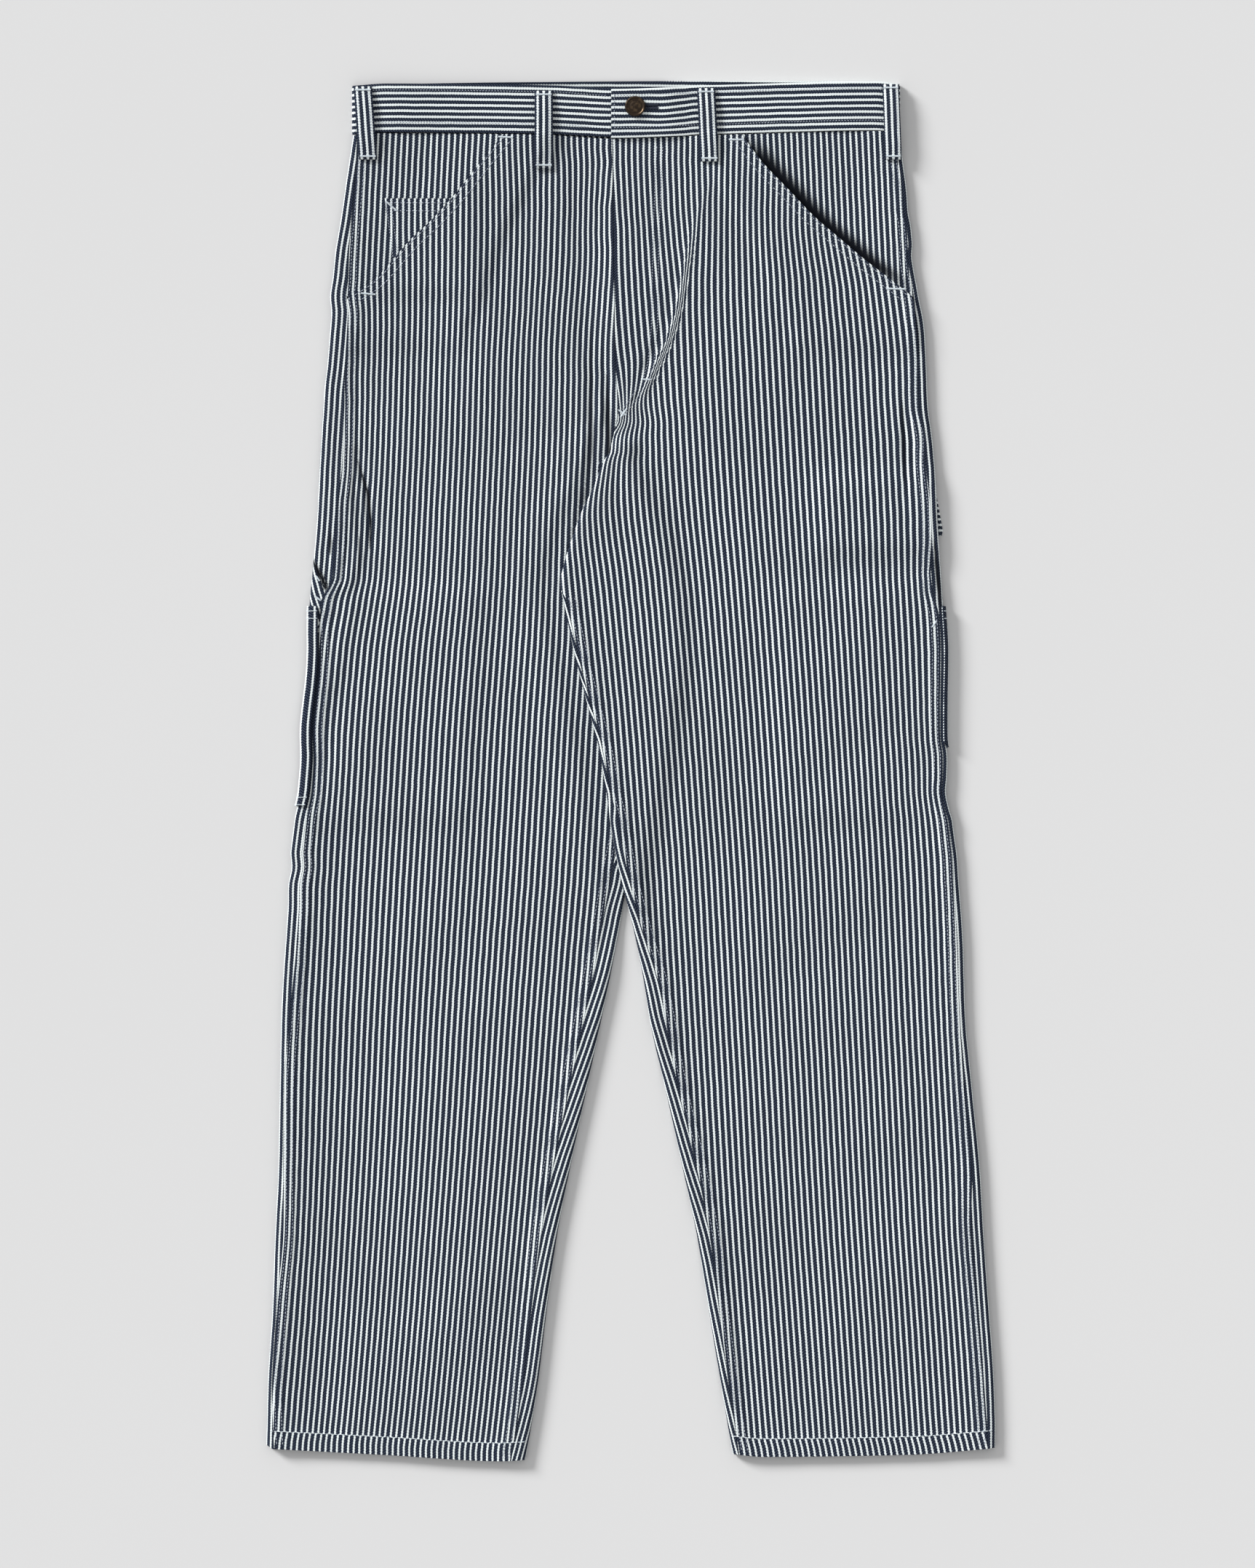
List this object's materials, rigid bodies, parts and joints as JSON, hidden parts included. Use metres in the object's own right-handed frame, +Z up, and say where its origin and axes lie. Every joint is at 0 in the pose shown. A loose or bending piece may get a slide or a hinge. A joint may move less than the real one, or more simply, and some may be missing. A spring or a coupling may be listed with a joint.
{
  "type": "painter trousers laid flat",
  "caption": "Striped work trousers lying flat on their back, one leg laid over the other, with waistband, button fly, slanted hand pockets, watch pocket, tool pockets and hammer loop.",
  "frame": {"origin": "under the middle of the garment's bounding box, on the surface it lies on", "axes": "+Y along the legs towards the waist, +X towards the wearer's left, +Z up from the surface, out of the fronts"},
  "size_m": [0.568, 1.076, 0.0108],
  "materials": {
    "striped_twill": "matt cotton twill with narrow lengthwise navy and white stripes",
    "band_twill": "the same twill cut across, stitched along both edges",
    "button_metal": "dark antique brass, satin"
  },
  "bodies": {
    "root": {"right_front": "striped_twill", "right_back": "striped_twill", "left_front": "striped_twill", "left_back": "striped_twill", "right_pocket_facing": "striped_twill", "left_pocket_facing": "striped_twill", "right_tool_pocket": "striped_twill", "left_tool_pocket": "striped_twill", "watch_pocket": "striped_twill", "waistband": "band_twill", "belt_loop_right_side": "band_twill", "belt_loop_right_front": "band_twill", "belt_loop_left_front": "band_twill", "belt_loop_left_side": "band_twill", "hammer_loop": "band_twill", "button": "button_metal"}
  },
  "joints": []
}
